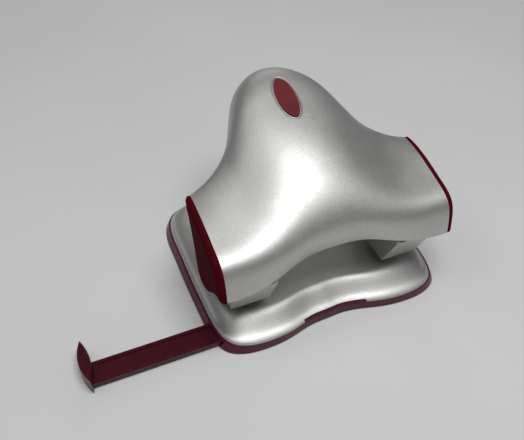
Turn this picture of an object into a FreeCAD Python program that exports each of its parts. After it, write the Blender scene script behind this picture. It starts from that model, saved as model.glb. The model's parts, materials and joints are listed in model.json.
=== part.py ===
import FreeCAD, Part

import math
import os

# Two-hole desk punch with a wide sheet-covered lever handle.
# Units are millimetres.  +Z is up and Z = 0 is the table.  The paper goes in
# from the front, which is -Y.  X runs along the handle.  The origin is under
# the middle of the base.

V = FreeCAD.Vector

# ---------------------------------------------------------------- dimensions
HOLE_SPACING = 80.0      # standard two-hole filing distance
HOLE_D = 6.0             # punched hole
BACK_MARGIN = 11.0       # hole centre to the paper's stopped edge

PIN_X = HOLE_SPACING / 2
PIN_Y = -20.0
PIN_R = HOLE_D / 2
RUN = 0.05               # running clearance of shafts and pins

PIVOT_Y = -34.0          # handle hinge, along X
PIVOT_Z = 42.0
PIVOT_R = 2.5

SHEET = 1.5              # bracket and lever cheek steel
LEVER_T = 2.0            # lever cross bar and tongue
COVER_T = 1.5            # handle cover wall

END_X = 55.5             # half length of the handle cover
CHEEK_X = 51.0           # inner side of the lever cheeks

BRACKET_IN = 30.4        # outer faces of the punch head bracket
BRACKET_OUT = 49.5
THROAT_TOP = 16.7        # underside of the bracket above the paper slot

PLATE_T = 1.2
PLATE_EDGE_Z = 5.5       # the plate's brim, where it starts to rise
PLATE_TOP = 12.4
PLATE_ROLL = 8.0         # width of the rolled edge at the sides and the back
PLATE_SLOPE = 14.0       # width of the ogee slope at the front
SKIRT_Z = 3.0
PAD_TOP = 13.4           # raised pad whose front edge stops the paper
PAD_FRONT = PIN_Y + BACK_MARGIN
PAD_BACK = 31.0
PAD_FRONT_X = 56.5
PAD_BACK_X = 49.0

TRAY_FLOOR = 1.0
TRAY_TOP = 5.0
LATCH_HALF = 16.5        # half width of the tray's front latch lip
LATCH_TOP = 6.0
TRAY_HINGE_Y = 52.0
TRAY_HINGE_Z = 7.6

# How far each wall stands inside the footprint, across X and across Y.
TRAY_LIP = (1.9, 0.3)
TRAY_INNER = (3.3, 1.2)
HEM = (2.9, 0.6)
LATCH_BACK = (4.3, 2.0)
SKIRT = (3.9, 1.7)

RAIL_Y0 = -40.8          # pull-out paper guide
RAIL_Y1 = -29.1
RAIL_Z0 = 1.9
RAIL_Z1 = 4.3
RAIL_TIP = -119.0
RAIL_TAIL = -5.0
STOP_X = -118.6
STOP_Y = (-42.8, -19.3)

INLAY_Y = 19.4           # oval inlay on the crown
INLAY_HALF_W = 4.6
INLAY_HALF_L = 11.4

SCREW_X = 10.0
SCREW_Y = 24.0
TONGUE_Z = 76.0

# Outline of the foot print, right half, from the front centre to the back.
# The front edge waves in at the middle and out in front of each punch head.
FOOTPRINT = [(0, -45.2), (12, -46.0), (25, -49.2), (38, -50.5), (49.5, -49.0), (56, -45.3),
             (59.6, -38), (61.2, -21), (61.5, 0), (61.2, 22), (60.2, 38), (56.2, 46.8),
             (49.5, 50.6), (38, 51), (19, 51), (0, 51)]
HALF_X = 61.5
HALF_Y = 50.5

# Control net of the handle cover's outer skin.  Each row runs from the middle
# of the handle to its right end; the rows go from the lower front edge, over
# the barrel-shaped front and the crown, to the back edge of the thumb lobe.
COVER_NET = [
    [(0, -38, 43.5), (15, -38, 43.5), (31, -44, 39.5), (44, -46.8, 38.5), (END_X, -46.6, 38.8)],
    [(0, -41, 54), (15, -42, 52), (31, -45.5, 48.5), (44, -45.8, 48), (END_X, -45.4, 48)],
    [(0, -36, 64), (16, -38, 61.5), (32, -43, 57), (44, -43, 56.6), (END_X, -43, 56.3)],
    [(0, -20, 75), (16, -21, 72.5), (31, -28, 62.5), (43, -31, 58.8), (END_X, -31, 58.6)],
    [(0, 0, 83), (17, 0, 81), (31, -8, 69), (42, -16, 62), (END_X, -18, 61.8)],
    [(0, 22, 88), (19.5, 20, 86.5), (29.5, 9, 77), (41, -4, 64.5), (END_X, -9, 62.8)],
    [(0, 46, 96), (20.5, 34, 90), (28.5, 19, 76), (38, 8, 67), (END_X, -4, 62.9)],
    [(0, 56, 83), (21, 42, 79.5), (29, 19, 70), (38, 7.5, 63.5), (END_X, -1, 62.5)],
]


# ------------------------------------------------------------------- helpers
def box(x, y, z):
    """Block from three (low, high) pairs."""
    return Part.makeBox(x[1] - x[0], y[1] - y[0], z[1] - z[0], V(x[0], y[0], z[0]))


def rod(r, start, axis, length):
    return Part.makeCylinder(r, length, V(*start), V(*axis))


def mirror(shape):
    return shape.mirror(V(0, 0, 0), V(1, 0, 0))


def both(shape):
    """The shape and its mirror image, as one compound."""
    return Part.makeCompound([shape, mirror(shape)])


def slab(points, x0, x1):
    """Extrude a (y, z) polygon from x0 to x1."""
    ring = [V(x0, y, z) for y, z in points]
    return Part.Face(Part.makePolygon(ring + [ring[0]])).extrude(V(x1 - x0, 0, 0))


def fuse(shapes):
    return shapes[0].multiFuse(shapes[1:]).removeSplitter()


def rim(inset, z, more=0.0):
    """Closed smooth outline: the footprint drawn in by `inset` + `more`, at height z.

    `inset` is (sides, front and back) or (sides, front, back).
    """
    sides, front, back = [(i + more) for i in (*inset, inset[-1])[:3]]
    kx = 1 - sides / HALF_X
    half = []
    for x, y in FOOTPRINT:
        half.append(V(x * kx, y * (1 - (front if y < 0 else back) / HALF_Y), z))
    rest = [V(-p.x, p.y, p.z) for p in reversed(half[1:-1])]
    curve = Part.BSplineCurve()
    curve.interpolate(Points=half + rest, PeriodicFlag=True)
    return Part.Wire(curve.toShape())


def prism(inset, z0, z1, more=0.0):
    return Part.Face(rim(inset, z0, more)).extrude(V(0, 0, z1 - z0))


def ogee(f):
    """Share of the slope's width at which an S-shaped slope has risen by f."""
    return 0.5 - math.sin(math.asin(1 - 2 * min(1.0, max(0.0, f))) / 3)


def plate_ring(thickness, z):
    """Inset (sides, front, back) of the plate's outer or inner wall at height z."""
    rise = PLATE_TOP - PLATE_EDGE_Z - thickness
    f = min(1.0, max(0.0, (z - PLATE_EDGE_Z) / rise))
    round_edge = thickness + (PLATE_ROLL - thickness) * (1 - math.sqrt(1 - f * f))
    f_front = (z + thickness - PLATE_EDGE_Z) / (rise + thickness)
    slope = max(thickness, PLATE_SLOPE * ogee(f_front))
    return SKIRT[0] + round_edge, SKIRT[1] + slope, SKIRT[1] + round_edge


def domed(thickness, skirt_z):
    """Straight skirt, an S-shaped slope at the front and rolled edges elsewhere.

    `thickness` moves every wall inwards, so 0 gives the plate's outside.
    """
    low = PLATE_EDGE_Z - 0.8 * thickness
    rise = PLATE_TOP - thickness - low
    heights = [low + rise * math.sin(math.radians(a)) for a in (0, 10, 22, 36, 50, 66, 90)]
    dome = Part.makeLoft([rim(plate_ring(thickness, z), z) for z in heights], True, False)
    return fuse([dome, prism(plate_ring(thickness, low), skirt_z, low)])


def save(name, shape):
    solids = shape.Solids
    good = all(s.isValid() and s.Volume > 0 for s in solids)
    out = solids[0] if len(solids) == 1 else Part.makeCompound(solids)
    out.exportStep("parts/%s.step" % name)
    b = out.BoundBox
    print("%-22s solids %d  ok %s  vol %9.1f  x %7.2f %7.2f  y %7.2f %7.2f  z %6.2f %6.2f" % (
        name, len(solids), good, out.Volume, b.XMin, b.XMax, b.YMin, b.YMax, b.ZMin, b.ZMax))


# ---------------------------------------------------------------- base plate
def plate_pad(thickness):
    """Raised trapezoid pad under the punch heads; its front edge is the paper stop."""
    t = thickness
    corners = [(-PAD_FRONT_X + t, PAD_FRONT + t), (PAD_FRONT_X - t, PAD_FRONT + t),
               (PAD_BACK_X - t, PAD_BACK - t), (-PAD_BACK_X + t, PAD_BACK - t)]
    low = PLATE_TOP - 5
    ring = [V(x, y, low) for x, y in corners]
    pad = Part.Face(Part.makePolygon(ring + [ring[0]])).extrude(V(0, 0, PAD_TOP - t - low))
    upright = [e for e in pad.Edges if e.BoundBox.ZLength > 1]
    return pad.makeFillet(4.0 - t, upright)


def latch_gap(gap):
    """Block at the front centre that the tray's latch lip fills, less a clearance."""
    half = LATCH_HALF + gap
    front = box((-half, half), (-48, -36), (SKIRT_Z - 1, LATCH_TOP + gap))
    return front.cut(prism(LATCH_BACK, 0, 20, gap))


def rail_slot(gap, z0, z1, x=(-70, -45)):
    return box(x, (RAIL_Y0 - gap, RAIL_Y1 + gap), (z0, z1))


def rivet_spots():
    return [(35.0, 3.0), (45.0, 3.0)]


def hinge_lug():
    """Ear on the plate's back edge that carries the tray's hinge pin."""
    arm = box((25, 28.5), (48.1, TRAY_HINGE_Y), (6.7, 8.5))
    eye = rod(1.6, (25, TRAY_HINGE_Y, TRAY_HINGE_Z), (1, 0, 0), 3.5)
    hole = rod(0.8, (24, TRAY_HINGE_Y, TRAY_HINGE_Z), (1, 0, 0), 6)
    return arm.fuse(eye).cut(hole)


def plate_hem():
    """Thin outward flange that covers the top of the tray's wall."""
    return prism(HEM, TRAY_TOP + 0.05, PLATE_EDGE_Z).cut(prism(SKIRT, 0, 20, 0.4))


def base_plate():
    """Pressed steel plate: rolled edge, raised pad, die seats and the guide's slot."""
    lug = hinge_lug()
    plate = domed(0, SKIRT_Z).fuse(plate_pad(0).cut(domed(PLATE_T, 0)))
    plate = plate.cut(domed(PLATE_T, SKIRT_Z - 1)).cut(plate_pad(PLATE_T))
    plate = plate.fuse(plate_hem()).cut(latch_gap(0.3))
    plate = plate.cut(rail_slot(0.8, 0, RAIL_Z1 + 0.25))
    plate = plate.multiFuse([lug, mirror(lug)])
    for x, y in rivet_spots():
        plate = plate.cut(both(rod(1.5, (x, y, 5), (0, 0, 1), 10)))
    return plate.cut(both(rod(5.0, (PIN_X, PIN_Y, 5), (0, 0, 1), 10))).removeSplitter()


def die():
    """Hardened bush under the punch pin, flush with the plate."""
    z = PLATE_TOP - PLATE_T
    body = rod(5.0, (PIN_X, PIN_Y, z - 1), (0, 0, 1), PLATE_T + 1)
    flange = rod(6.2, (PIN_X, PIN_Y, z - 1), (0, 0, 1), 1)
    return body.fuse(flange).cut(rod(PIN_R + RUN, (PIN_X, PIN_Y, 0), (0, 0, 1), 20)).removeSplitter()


# --------------------------------------------------------------- punch heads
def bracket():
    """Punch head: a folded sheet U with a leaning front, ears and two guide webs."""
    t = SHEET
    stop = PIN_Y + BACK_MARGIN
    side = [(-34.2, THROAT_TOP), (-43.5, 38), (-40, PIVOT_Z), (-28, PIVOT_Z), (-28, 37.8),
            (stop, 29), (12, 19.3), (12, PAD_TOP), (stop, PAD_TOP), (stop, THROAT_TOP)]
    pieces = []
    for x in (BRACKET_IN, BRACKET_OUT - t):
        pieces.append(slab(side, x, x + t))
        pieces.append(rod(6.0, (x, PIVOT_Y, PIVOT_Z), (1, 0, 0), t))
    front = [(-34.2, THROAT_TOP), (-43.5, 38), (-41.9, 38), (-32.6, THROAT_TOP)]
    pieces.append(slab(front, BRACKET_IN, BRACKET_OUT))
    inner = (BRACKET_IN + t, BRACKET_OUT - t)
    pieces.append(box(inner, (-33, stop), (THROAT_TOP, THROAT_TOP + t)))
    pieces.append(box(inner, (-30, -12), (22.5, 24)))
    for foot in ((inner[0], 38.2), (41.8, inner[1])):
        pieces.append(box(foot, (-5, 11), (PAD_TOP, PAD_TOP + t)))
    body = fuse(pieces)
    body = body.cut(rod(PIVOT_R, (20, PIVOT_Y, PIVOT_Z), (1, 0, 0), 40))
    for x, y in rivet_spots():
        body = body.cut(rod(1.5, (x, y, 10), (0, 0, 1), 8))
    return body.cut(rod(PIN_R + RUN, (PIN_X, PIN_Y, 10), (0, 0, 1), 20))


def rivets():
    z = PAD_TOP + SHEET
    low = PAD_TOP - PLATE_T
    solids = []
    for x, y in rivet_spots():
        shank = rod(1.5, (x, y, low - 1), (0, 0, 1), z - low + 2)
        head = rod(2.8, (x, y, z), (0, 0, 1), 1.2)
        upset = rod(2.4, (x, y, low - 1), (0, 0, 1), 1)
        one = fuse([shank, head, upset])
        solids += [one, mirror(one)]
    return Part.makeCompound(solids)


def punch_pin():
    """Punch with a V-cut tip, a clip groove and a domed head under the lever."""
    low, high, dome = THROAT_TOP + 0.2, PIVOT_Z - 0.1, 6.0
    pin = rod(PIN_R, (PIN_X, PIN_Y, low), (0, 0, 1), high - low)
    ball = Part.makeSphere(dome, V(PIN_X, PIN_Y, high - dome))
    keep = fuse([ball, rod(PIN_R, (PIN_X, PIN_Y, low), (0, 0, 1), high - dome - low)])
    pin = pin.common(keep)
    ring = rod(PIN_R + 1, (PIN_X, PIN_Y, 38), (0, 0, 1), 0.8)
    pin = pin.cut(ring.cut(rod(2.6, (PIN_X, PIN_Y, 37), (0, 0, 1), 3)))
    notch = slab([(PIN_Y - 1.8, low), (PIN_Y, low + 1.2), (PIN_Y + 1.8, low)], 30, 50)
    return pin.cut(notch)


def retainer_clip():
    ring = rod(4.6, (PIN_X, PIN_Y, 38.05), (0, 0, 1), 0.7)
    ring = ring.cut(rod(2.65, (PIN_X, PIN_Y, 37), (0, 0, 1), 3))
    return ring.cut(box((PIN_X - 2, PIN_X + 2), (PIN_Y, PIN_Y + 6), (37, 40)))


def return_spring():
    """Six-turn compression spring between the upper guide web and the clip."""
    wire, turns, low, high = 0.45, 6, 24.0, 38.0
    rise = high - low - 2 * wire
    helix = Part.makeHelix(rise / turns, rise, 3.62)
    section = Part.Wire(Part.makeCircle(wire, V(3.62, 0, 0), V(0, 1, 0)))
    coil = Part.Wire(helix).makePipeShell([section], True, True)
    coil.translate(V(PIN_X, PIN_Y, low + wire))
    return coil


def pivot_pin():
    start = (BRACKET_IN - 0.1, PIVOT_Y, PIVOT_Z)
    shaft = rod(PIVOT_R, start, (1, 0, 0), 54.0 - start[0])
    head = rod(4.0, (start[0] - 1.4, PIVOT_Y, PIVOT_Z), (1, 0, 0), 1.4)
    return shaft.fuse(head).removeSplitter()


def pivot_clip():
    x = CHEEK_X + SHEET + 0.2
    ring = rod(4.2, (x, PIVOT_Y, PIVOT_Z), (1, 0, 0), 0.9)
    return ring.cut(rod(PIVOT_R, (x - 1, PIVOT_Y, PIVOT_Z), (1, 0, 0), 3))


# -------------------------------------------------------------------- handle
def cover_poles(offset):
    """The cover's control net, mirrored to full width and moved along its normal."""
    rows = [[V(-x, y, z) for x, y, z in reversed(row[1:])] + [V(*p) for p in row]
            for row in COVER_NET]
    last_i, last_j = len(rows) - 1, len(rows[0]) - 1
    moved = []
    for i, row in enumerate(rows):
        line = []
        for j, p in enumerate(row):
            along = row[min(j + 1, last_j)] - row[max(j - 1, 0)]
            back = rows[min(i + 1, last_i)][j] - rows[max(i - 1, 0)][j]
            n = along.cross(back)
            if j in (0, last_j):
                n.x = 0
            line.append(p + n.normalize() * offset)
        moved.append(line)
    return moved


def cover_skin(offset):
    poles = cover_poles(offset)
    nu, nv = len(poles), len(poles[0])
    skin = Part.BSplineSurface()
    skin.buildFromPolesMultsKnots(
        poles, [4] + [1] * (nu - 4) + [4], [4] + [1] * (nv - 4) + [4],
        [k / (nu - 3) for k in range(nu - 2)], [k / (nv - 3) for k in range(nv - 2)],
        False, False, 3, 3)
    return skin


def cover_between(low, high):
    """Solid between two offsets of the cover's skin."""
    a, b = cover_skin(low), cover_skin(high)
    faces = [a.toShape(), b.toShape()]
    for k in (0, 1):
        faces.append(Part.makeRuledSurface(a.uIso(k).toShape(), b.uIso(k).toShape()))
        faces.append(Part.makeRuledSurface(a.vIso(k).toShape(), b.vIso(k).toShape()))
    shell = Part.makeShell(faces)
    shell.sewShape()
    solid = Part.makeSolid(shell)
    if solid.Volume < 0:
        solid.reverse()
    return solid


def oval(grow, z0=70, z1=100):
    flat = Part.Ellipse(V(0, INLAY_Y, z0), INLAY_HALF_L + grow, INLAY_HALF_W + grow).toShape()
    flat.rotate(V(0, INLAY_Y, z0), V(0, 0, 1), 90)
    return Part.Face(Part.Wire(flat)).extrude(V(0, 0, z1 - z0))


def screw_boss(cover):
    """Boss from the lever tongue up to the inside of the cover."""
    seat = TONGUE_Z + LEVER_T
    column = rod(3.2, (SCREW_X, SCREW_Y, seat), (0, 0, 1), 30).cut(cover)
    stub = min(column.Solids, key=lambda s: s.CenterOfMass.z)
    return stub.cut(rod(1.45, (SCREW_X, SCREW_Y, seat - 1), (0, 0, 1), 7))


def handle_shell():
    """Bell-shaped cover over the lever, open below, with an oval pocket."""
    cover = cover_between(-COVER_T, 0)
    boss = screw_boss(cover)
    cover = cover.multiFuse([boss, mirror(boss)])
    groove = cover_between(-0.5, 1.0).common(oval(0.7))
    return cover.cut(groove).cut(oval(0.05))


def oval_inlay():
    return cover_between(-COVER_T, 0.35).common(oval(0))


def lever_frame():
    """Steel lever: two cheeks, a press bar over the punches and a screwed tongue."""
    t = LEVER_T
    cheek = [(-40.5, PIVOT_Z), (-39.5, 47.5), (-34, 52), (-22, 55.8), (-9, 58.5), (-5, 56),
             (-9, 47), (-14, PIVOT_Z), (-26, PIVOT_Z), (-28, 38), (-34, 35.5), (-39, 38)]
    pieces = [slab(cheek, CHEEK_X, CHEEK_X + SHEET), slab(cheek, -CHEEK_X - SHEET, -CHEEK_X)]
    edge = CHEEK_X + SHEET
    pieces.append(box((-edge, edge), (-26, -14), (PIVOT_Z, PIVOT_Z + t)))
    web = [(-16, PIVOT_Z), (-13.4, PIVOT_Z), (13.4, TONGUE_Z), (38, TONGUE_Z),
           (38, TONGUE_Z + t), (12, TONGUE_Z + t), (-15, PIVOT_Z + t)]
    pieces.append(slab(web, -14, 14))
    frame = fuse(pieces)
    frame = frame.cut(both(rod(PIVOT_R + RUN, (CHEEK_X - 2, PIVOT_Y, PIVOT_Z), (1, 0, 0), 6)))
    for y, z in cap_pegs():
        frame = frame.cut(both(rod(1.55, (CHEEK_X - 2, y, z), (1, 0, 0), 6)))
    return frame.cut(both(rod(1.6, (SCREW_X, SCREW_Y, 70), (0, 0, 1), 12)))


def handle_screws():
    head = rod(2.8, (SCREW_X, SCREW_Y, TONGUE_Z - 1.8), (0, 0, 1), 1.8)
    shank = rod(1.4, (SCREW_X, SCREW_Y, TONGUE_Z - 1), (0, 0, 1), 9)
    slot = box((SCREW_X - 3, SCREW_X + 3), (SCREW_Y - 0.4, SCREW_Y + 0.4),
               (TONGUE_Z - 2, TONGUE_Z - 1))
    return both(head.fuse(shank).cut(slot).removeSplitter())


def cap_pegs():
    return [(-30.0, 49.0), (-15.0, 51.5)]


def cap_outline(x, shrink):
    """Cap outline at x: the cover's end curve above, a swept flank below."""
    end = [V(x, row[-1][1], row[-1][2]) for row in COVER_NET]
    top = Part.BSplineCurve()
    n = len(end)
    top.buildFromPolesMultsKnots(end, [4] + [1] * (n - 4) + [4],
                                 [k / (n - 3) for k in range(n - 2)], False, 3)
    flank = [end[-1]] + [V(x, y, z) for y, z in (
        (-6, 52), (-10, 39), (-12.5, 28), (-16, 22), (-21, 22), (-31, 28.5))] + [end[0]]
    low = Part.BSplineCurve()
    low.interpolate(Points=flank)
    wire = Part.Wire([top.toShape(), low.toShape()])
    middle = V(x, -25, 46)
    wire.scale(shrink, middle)
    return wire


def end_cap():
    """Plastic cap over the cover's end, hanging down over the lever cheek."""
    x = END_X + 0.05
    flat = Part.Face(cap_outline(x, 1.0)).extrude(V(1.5, 0, 0))
    rings = [cap_outline(x + 1.5, 1.0), cap_outline(x + 2.6, 0.95), cap_outline(x + 3.2, 0.82)]
    cap = flat.fuse(Part.makeLoft(rings, True, True))
    for y, z in cap_pegs():
        cap = cap.fuse(rod(1.5, (CHEEK_X, y, z), (1, 0, 0), x + 1 - CHEEK_X))
    return cap


# ----------------------------------------------------------------- chip tray
def tray_block():
    """Tray outside: flared wall over a small bottom chamfer."""
    rings = [rim((0.9, 0.9), 0), rim((0, 0), 0.9), rim(TRAY_LIP, TRAY_TOP)]
    return Part.makeLoft(rings, True, True)


def tray_knuckle():
    post = box((28.8, 33.5), (50.65, TRAY_HINGE_Y + 0.6), (2.4, TRAY_HINGE_Z))
    eye = rod(1.6, (28.8, TRAY_HINGE_Y, TRAY_HINGE_Z), (1, 0, 0), 4.7)
    return post.fuse(eye)


def latch_lip():
    """Raised lip that fills the notch in the plate's front edge."""
    return prism(TRAY_LIP, SKIRT_Z - 1, LATCH_TOP, 0.2).common(latch_gap(0))


def chip_tray():
    """Bottom tray that swings down at the front to empty the chips."""
    tray = tray_block().cut(prism(TRAY_INNER, TRAY_FLOOR, TRAY_TOP + 1))
    tray = tray.cut(rail_slot(1.0, RAIL_Z0 - 0.5, TRAY_TOP + 1, (-70, -50)))
    knuckle = tray_knuckle()
    tray = fuse([tray, knuckle, mirror(knuckle), latch_lip()])
    bore = rod(0.8 + RUN, (20, TRAY_HINGE_Y, TRAY_HINGE_Z), (1, 0, 0), 20)
    return tray.cut(both(bore))


def tray_hinge_pins():
    return both(rod(0.8, (25.2, TRAY_HINGE_Y, TRAY_HINGE_Z), (1, 0, 0), 8.2))


# --------------------------------------------------------------- paper guide
def paper_guide():
    """Flat pull-out rail with a sunk scale field and raised size marks."""
    rail = box((RAIL_TIP, RAIL_TAIL), (RAIL_Y0, RAIL_Y1), (RAIL_Z0, RAIL_Z1))
    field = box((STOP_X + 5, RAIL_TAIL - 0.8), (RAIL_Y0 + 2.4, RAIL_Y1 - 1.6),
                (RAIL_Z1 - 0.5, RAIL_Z1 + 1))
    rail = rail.cut(field)
    for k in range(5):
        x = STOP_X + 18 + 12 * k
        long = 4.5 if k % 2 == 0 else 3.0
        mark = box((x, x + 0.6), (RAIL_Y0 + 3.2, RAIL_Y0 + 3.2 + long), (RAIL_Z1 - 0.6, RAIL_Z1 - 0.2))
        rail = rail.fuse(mark)
    return rail.removeSplitter()


def guide_stop():
    """Lens-shaped end stop that the paper's side edge meets."""
    low, high = 0.6, 10.2
    middle = (STOP_Y[0] + STOP_Y[1]) / 2
    a, b = V(STOP_X, STOP_Y[0], low), V(STOP_X, STOP_Y[1], low)
    outer = Part.Arc(a, V(STOP_X - 3.2, middle, low), b).toShape()
    inner = Part.Arc(b, V(STOP_X + 2.4, middle, low), a).toShape()
    lens = Part.Face(Part.Wire([outer, inner])).extrude(V(0, 0, high - low))
    top = [e for e in lens.Edges if e.BoundBox.ZMin > high - 0.1]
    lens = lens.makeFillet(0.9, top)
    return lens.cut(box((RAIL_TIP, STOP_X + 6), (RAIL_Y0, RAIL_Y1), (RAIL_Z0, RAIL_Z1)))


def guide_bezel():
    """Small bridge that closes the tray's rim above the rail."""
    band = box((-70, -50), (RAIL_Y0 - 0.7, RAIL_Y1 + 0.7), (RAIL_Z1 + 0.15, TRAY_TOP))
    return tray_block().cut(prism(SKIRT, 0, 20)).common(band)


def guide_straps():
    """Two strap guides under the plate that carry the rail."""
    room = domed(PLATE_T, 0)
    y0, y1 = RAIL_Y0 - 0.3, RAIL_Y1 + 0.3
    straps = []
    for x in (-50.0, -18.0):
        ring = box((x, x + 7), (y0 - 1.2, y1 + 1.2), (RAIL_Z0 - 0.55, PLATE_TOP))
        ring = ring.cut(box((x - 1, x + 8), (y0, y1), (RAIL_Z0 - 0.05, PLATE_TOP + 1)))
        straps.append(ring.common(room))
    return Part.makeCompound(straps)


def detent_spring():
    """Bent leaf under the plate that presses on the rail and holds it where it is set."""
    under, field = PLATE_TOP - PLATE_T, RAIL_Z1 - 0.5
    y = RAIL_Y1 - 3.4
    top = [(-38, under), (-32, under), (-26.4, field + 0.75), (-23.6, field + 2.2)]
    low = [(-38, under - 0.4), (-32.2, under - 0.4), (-26.5, field + 0.2), (-23.4, field + 1.8)]
    ring = [V(px, y - 1.5, pz) for px, pz in top + low[::-1]]
    return Part.Face(Part.makePolygon(ring + [ring[0]])).extrude(V(0, 3, 0))


# -------------------------------------------------------------------- export
def main():
    os.makedirs("parts", exist_ok=True)
    single = {
        "base_plate": base_plate, "bracket_rivets": rivets, "handle_shell": handle_shell,
        "lever_frame": lever_frame, "oval_inlay": oval_inlay, "handle_screws": handle_screws,
        "chip_tray": chip_tray, "tray_hinge_pins": tray_hinge_pins, "paper_guide": paper_guide,
        "guide_stop": guide_stop, "guide_bezel": guide_bezel, "guide_straps": guide_straps,
        "detent_spring": detent_spring,
    }
    paired = {
        "bracket": bracket, "die": die, "punch_pin": punch_pin, "return_spring": return_spring,
        "retainer_clip": retainer_clip, "pivot_pin": pivot_pin, "pivot_clip": pivot_clip,
        "end_cap": end_cap,
    }
    for name, make in single.items():
        save(name, make())
    for name, make in paired.items():
        right = make()
        save("right_" + name, right)
        save("left_" + name, mirror(right))


main()
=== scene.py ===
import json
import math

import bmesh
import bpy
from mathutils import Matrix, Vector


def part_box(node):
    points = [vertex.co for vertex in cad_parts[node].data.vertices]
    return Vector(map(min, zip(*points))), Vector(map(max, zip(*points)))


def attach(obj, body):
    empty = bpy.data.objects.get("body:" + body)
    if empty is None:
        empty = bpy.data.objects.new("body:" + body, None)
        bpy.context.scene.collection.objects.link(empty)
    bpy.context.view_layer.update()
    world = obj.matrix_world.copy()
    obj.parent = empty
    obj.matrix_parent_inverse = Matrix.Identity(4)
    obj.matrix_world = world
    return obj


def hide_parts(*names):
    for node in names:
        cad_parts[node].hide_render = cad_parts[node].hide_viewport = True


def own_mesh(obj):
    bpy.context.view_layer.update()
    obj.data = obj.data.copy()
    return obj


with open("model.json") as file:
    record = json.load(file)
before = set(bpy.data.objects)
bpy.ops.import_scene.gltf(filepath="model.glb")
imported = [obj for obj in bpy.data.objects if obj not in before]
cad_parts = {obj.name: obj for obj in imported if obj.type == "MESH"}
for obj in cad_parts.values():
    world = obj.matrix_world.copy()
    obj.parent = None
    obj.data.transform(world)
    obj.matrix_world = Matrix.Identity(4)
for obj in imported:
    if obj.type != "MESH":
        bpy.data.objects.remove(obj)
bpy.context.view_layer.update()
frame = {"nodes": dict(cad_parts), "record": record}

# Two-hole desk punch.  Everything is in metres, in the CAD frame: +Z up, the
# paper enters from -Y, the origin is under the middle of the base.

MM = 0.001
NODES = frame["nodes"]


# ----------------------------------------------------------------- node tools
class Tree:
    """Small helper for building one procedural material."""

    def __init__(self, name):
        self.material = bpy.data.materials.new(name)
        self.material.use_nodes = True
        self.nodes = self.material.node_tree.nodes
        self.links = self.material.node_tree.links
        self.shader = self.nodes["Principled BSDF"]
        coords = self.nodes.new("ShaderNodeTexCoord")
        self.place = coords.outputs["Object"]

    def add(self, kind, **settings):
        node = self.nodes.new(kind)
        for key, value in settings.items():
            if key in node.inputs:
                node.inputs[key].default_value = value
            else:
                setattr(node, key, value)
        return node

    def link(self, a, b):
        self.links.new(a, b)

    def noise(self, scale, detail=3.0, stretch=(1, 1, 1), rough=0.55):
        mapping = self.add("ShaderNodeMapping")
        mapping.inputs["Scale"].default_value = stretch
        self.link(self.place, mapping.inputs["Vector"])
        noise = self.add("ShaderNodeTexNoise", Scale=scale, Detail=detail, Roughness=rough)
        self.link(mapping.outputs["Vector"], noise.inputs["Vector"])
        return noise.outputs["Fac"]

    def ramp(self, value, stops):
        """Colour ramp from (position, colour) pairs; a colour may be one number."""
        ramp = self.add("ShaderNodeValToRGB")
        bar = ramp.color_ramp.elements
        while len(bar) < len(stops):
            bar.new(0.5)
        for stop, (at, colour) in zip(bar, stops):
            stop.position = at
            if not isinstance(colour, tuple):
                colour = (colour,) * 3
            stop.color = (*colour, 1)
        self.link(value, ramp.inputs["Fac"])
        return ramp.outputs["Color"]

    def mix(self, fac, a, b, mode="MIX"):
        node = self.add("ShaderNodeMix", data_type="RGBA", blend_type=mode)
        for socket, value in ((node.inputs[0], fac), (node.inputs[6], a), (node.inputs[7], b)):
            if isinstance(value, bpy.types.NodeSocket):
                self.link(value, socket)
            elif isinstance(value, tuple):
                socket.default_value = (*value, 1)
            else:
                socket.default_value = value
        return node.outputs[2]

    def bump(self, layers):
        """Stack of bumps from (height, strength, distance in mm)."""
        last = None
        for height, strength, deep in layers:
            node = self.add("ShaderNodeBump", Strength=strength, Distance=deep * MM)
            self.link(height, node.inputs["Height"])
            if last is not None:
                self.link(last, node.inputs["Normal"])
            last = node.outputs["Normal"]
        self.link(last, self.shader.inputs["Normal"])

    def set(self, **values):
        for key, value in values.items():
            self.shader.inputs[key.replace("_", " ")].default_value = value

    def edges(self):
        """White on convex edges, for wear."""
        point = self.add("ShaderNodeNewGeometry").outputs["Pointiness"]
        return self.ramp(point, [(0.52, 0.0), (0.62, 1.0)])


# ------------------------------------------------------------------ materials
def silver_paint():
    """Satin silver metallic paint: flake grain, faint orange peel, handling smudges."""
    t = Tree("silver_metallic_paint")
    flake = t.noise(2600, 2, rough=0.7)
    cloud = t.noise(38, 4)
    smudge = t.noise(95, 5, rough=0.65)
    tone = t.ramp(flake, [(0.30, (0.45, 0.45, 0.435)), (0.72, (0.70, 0.70, 0.675))])
    tone = t.mix(t.ramp(cloud, [(0.35, 0.0), (0.7, 0.35)]), tone, (0.52, 0.52, 0.505))
    t.link(tone, t.shader.inputs["Base Color"])
    t.link(t.ramp(smudge, [(0.3, 0.47), (0.75, 0.54)]), t.shader.inputs["Roughness"])
    t.set(Metallic=0.9, Coat_Weight=0.15, Coat_Roughness=0.25)
    t.bump([(flake, 0.25, 0.04), (t.noise(420, 2), 0.12, 0.08)])
    return t


def steel():
    """Zinc-plated steel with fine drawing lines."""
    t = Tree("plated_steel")
    lines = t.noise(1400, 2, stretch=(1, 8, 8))
    t.link(t.ramp(lines, [(0.3, (0.55, 0.55, 0.56)), (0.7, (0.66, 0.66, 0.65))]),
           t.shader.inputs["Base Color"])
    t.link(t.ramp(t.noise(160, 4), [(0.3, 0.30), (0.7, 0.40)]), t.shader.inputs["Roughness"])
    t.set(Metallic=1.0)
    t.bump([(lines, 0.1, 0.02)])
    return t


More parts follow.
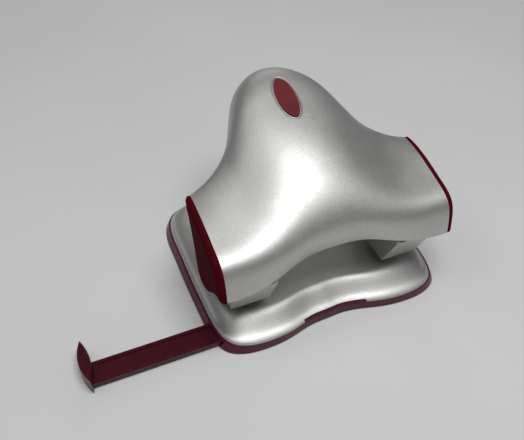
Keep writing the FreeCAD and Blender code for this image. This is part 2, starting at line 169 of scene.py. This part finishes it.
def plastic(name, dark, light, rough, grain=1500, coat=0.1, ior=1.35):
    """Moulded plastic: colour drift, fine mould grain, scuffs on the edges."""
    t = Tree(name)
    base = t.ramp(t.noise(60, 4), [(0.3, dark), (0.75, light)])
    edge_tone = tuple(min(1.0, 1.4 * c + 0.004) for c in light)
    scuffs = t.ramp(t.noise(300, 3), [(0.45, 0.0), (0.7, 0.4)])
    base = t.mix(t.mix(1.0, t.edges(), scuffs, "MULTIPLY"), base, edge_tone)
    t.link(base, t.shader.inputs["Base Color"])
    t.link(t.ramp(t.noise(220, 4), [(0.3, rough - 0.04), (0.75, rough + 0.06)]),
           t.shader.inputs["Roughness"])
    t.set(Coat_Weight=coat, Coat_Roughness=0.2, IOR=ior)
    t.bump([(t.noise(grain, 3), 0.2, 0.03), (t.noise(180, 2), 0.08, 0.1)])
    return t


def make_materials():
    """One material per slot.  The caps' low IOR keeps their grazing reflection dark."""
    return {
        "silver_paint": silver_paint(),
        "steel": steel(),
        "burgundy_gloss": plastic(
            "burgundy_cap_plastic", (0.058, 0.0025, 0.006), (0.088, 0.004, 0.010), 0.52,
            coat=0.0, ior=1.03),
        "red_inlay": plastic(
            "red_inlay_plastic", (0.12, 0.013, 0.015), (0.17, 0.022, 0.024), 0.40),
        "plum_plastic": plastic(
            "plum_tray_plastic", (0.068, 0.004, 0.022), (0.100, 0.007, 0.036), 0.34,
            grain=1100),
        "burgundy_rail": plastic(
            "burgundy_rail_plastic", (0.040, 0.001, 0.006), (0.062, 0.003, 0.010), 0.33),
    }


def dress_nodes(trees):
    """Every CAD node gets its slot's material."""
    slots = {s["node"]: s["material_slot"] for s in frame["record"]["subparts"]}
    for name, obj in NODES.items():
        obj.data.materials.clear()
        obj.data.materials.append(trees[slots[name]].material)


# -------------------------------------------------------------- added details
WIRE_SIDES = 10


def wire(name, points, radius, trees, slot, body, closed=True):
    """Round bead or wire through the points, riding on a body."""
    count = len(points)
    bm = bmesh.new()
    rings = []
    for k, place in enumerate(points):
        after = points[(k + 1) % count] if closed else points[min(k + 1, count - 1)]
        before = points[k - 1] if closed else points[max(k - 1, 0)]
        along = (after - before).normalized()
        out = along.cross(Vector((0, 0, 1))).normalized()
        up = out.cross(along)
        ring = []
        for j in range(WIRE_SIDES):
            a = 2 * math.pi * j / WIRE_SIDES
            ring.append(bm.verts.new(place + radius * (math.cos(a) * out + math.sin(a) * up)))
        rings.append(ring)
    for k in range(count if closed else count - 1):
        low, high = rings[k], rings[(k + 1) % count]
        for j in range(WIRE_SIDES):
            i = (j + 1) % WIRE_SIDES
            bm.faces.new((low[j], low[i], high[i], high[j])).smooth = True
    if not closed:
        bm.faces.new(rings[0])
        bm.faces.new(rings[-1])
    bmesh.ops.recalc_face_normals(bm, faces=bm.faces)
    mesh = bpy.data.meshes.new(name)
    bm.to_mesh(mesh)
    bm.free()
    mesh.materials.append(trees[slot].material)
    bead = bpy.data.objects.new(name, mesh)
    bpy.context.scene.collection.objects.link(bead)
    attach(bead, body)
    return bead


def coil_height(turn, turns, rise, pitch):
    """Height after `turn` turns: one closed turn at each end, open turns between."""
    open_pitch = (rise - 2 * pitch) / (turns - 2)
    if turn < 1:
        return turn * pitch
    if turn > turns - 1:
        return rise - (turns - turn) * pitch
    return pitch + (turn - 1) * open_pitch


def springs(trees):
    """Return springs with closed ends, coiled at their rest length.

    Each keeps 0.48 of its 14.0 mm at the pins' 7.3 mm limit, so it stays under its clip.
    """
    turns, steps, wire_r = 6, 24, 0.45 * MM
    end_pitch = 2.1 * wire_r
    for side in ("left", "right"):
        low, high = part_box(side + "_return_spring")
        x, y = (low[0] + high[0]) / 2, (low[1] + high[1]) / 2
        coil_r = (high[0] - low[0]) / 2 - wire_r
        rise = high[2] - low[2] - 2 * wire_r
        points = []
        for k in range(turns * steps + 1):
            a = 2 * math.pi * k / steps
            z = low[2] + wire_r + coil_height(k / steps, turns, rise, end_pitch)
            points.append(Vector((x + coil_r * math.cos(a), y + coil_r * math.sin(a), z)))
        spring = wire(side + "_spring_coil", points, wire_r, trees, "steel", "base", closed=False)
        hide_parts(side + "_return_spring")
        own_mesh(spring)


RING_POINTS = 72
RING_OUT = 1.0 * MM      # from the inlay's edge to the middle of the lip
RING_LIFT = 0.1 * MM     # the lip's middle above the skin
RING_R = 0.42 * MM
RAY_ABOVE = 0.02         # how far above the inlay each ray down to the skin starts


def inlay_ring(trees):
    """Raised silver lip round the oval inlay, laid on the cover's skin."""
    low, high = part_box("oval_inlay")
    middle = [(low[i] + high[i]) / 2 for i in range(3)]
    half_x, half_y = (high[0] - low[0]) / 2, (high[1] - low[1]) / 2
    shell = NODES["handle_shell"]
    points = []
    for k in range(RING_POINTS):
        a = 2 * math.pi * k / RING_POINTS
        x = middle[0] + (half_x + RING_OUT) * math.cos(a)
        y = middle[1] + (half_y + RING_OUT) * math.sin(a)
        above = Vector((x, y, high[2] + RAY_ABOVE))
        _, place, _, _ = shell.ray_cast(above, Vector((0, 0, -1)))
        points.append(place + Vector((0, 0, RING_LIFT)))
    wire("inlay_ring", points, RING_R, trees, "silver_paint", "handle")


# -------------------------------------------------------------- floor, lights
FLOOR_SIZE = 6


def floor():
    """Plain pale floor that the punch stands on."""
    bpy.ops.mesh.primitive_plane_add(size=FLOOR_SIZE, location=(0, 0, 0))
    plane = bpy.context.object
    plane.name = "floor"
    t = Tree("pale_floor")
    t.link(t.ramp(t.noise(6, 3), [(0.3, 0.66), (0.7, 0.70)]), t.shader.inputs["Base Color"])
    t.set(Roughness=0.8)
    plane.data.materials.append(t.material)


def area(name, place, target, size, power):
    """White rectangular softbox at a place, turned towards the target."""
    data = bpy.data.lights.new(name, "AREA")
    data.shape, data.size, data.size_y = "RECTANGLE", size[0], size[1]
    data.energy = power
    lamp = bpy.data.objects.new(name, data)
    lamp.location = place
    lamp.rotation_euler = (Vector(target) - Vector(place)).to_track_quat("-Z", "Y").to_euler()
    bpy.context.scene.collection.objects.link(lamp)


def lights():
    """A softbox high above, two weak fills, and a dim room."""
    middle = (0, 0, 0.05)
    area("key", (0.02, -0.26, 1.00), middle, (0.58, 0.40), 7.0)
    area("overhead", (-0.55, 0.10, 0.9), middle, (0.4, 0.3), 0.7)
    area("back_fill", (0.25, 0.85, 0.45), middle, (0.5, 0.4), 0.6)
    world = bpy.data.worlds.new("studio")
    world.use_nodes = True
    background = world.node_tree.nodes["Background"].inputs
    background["Color"].default_value = (0.95, 0.97, 1.0, 1)
    background["Strength"].default_value = 0.13
    bpy.context.scene.world = world


# --------------------------------------------------------------------- camera
CAMERA_AT = Vector((-112.99, -215.45, 268.71)) * MM
LOOK_AT = Vector((-18.93, 2.24, 30.0)) * MM
CAMERA_ROLL = math.radians(0.81)
LENS = 46.36             # millimetres, on a sensor this wide:
SENSOR = 36
CLIP_START = 0.01


def camera():
    """The view of the reference photograph."""
    data = bpy.data.cameras.new("camera")
    data.lens, data.sensor_width = LENS, SENSOR
    data.clip_start = CLIP_START
    cam = bpy.data.objects.new("camera", data)
    forward = (LOOK_AT - CAMERA_AT).normalized()
    right = forward.cross(Vector((0, 0, 1))).normalized()
    up = right.cross(forward)
    c, s = math.cos(CAMERA_ROLL), math.sin(CAMERA_ROLL)
    turned = Matrix((c * right + s * up, c * up - s * right, -forward)).transposed()
    cam.matrix_world = Matrix.Translation(CAMERA_AT) @ turned.to_4x4()
    bpy.context.scene.collection.objects.link(cam)
    bpy.context.scene.camera = cam


trees = make_materials()
dress_nodes(trees)
inlay_ring(trees)
springs(trees)
floor()
lights()
camera()
bpy.context.scene.view_settings.view_transform = "Standard"
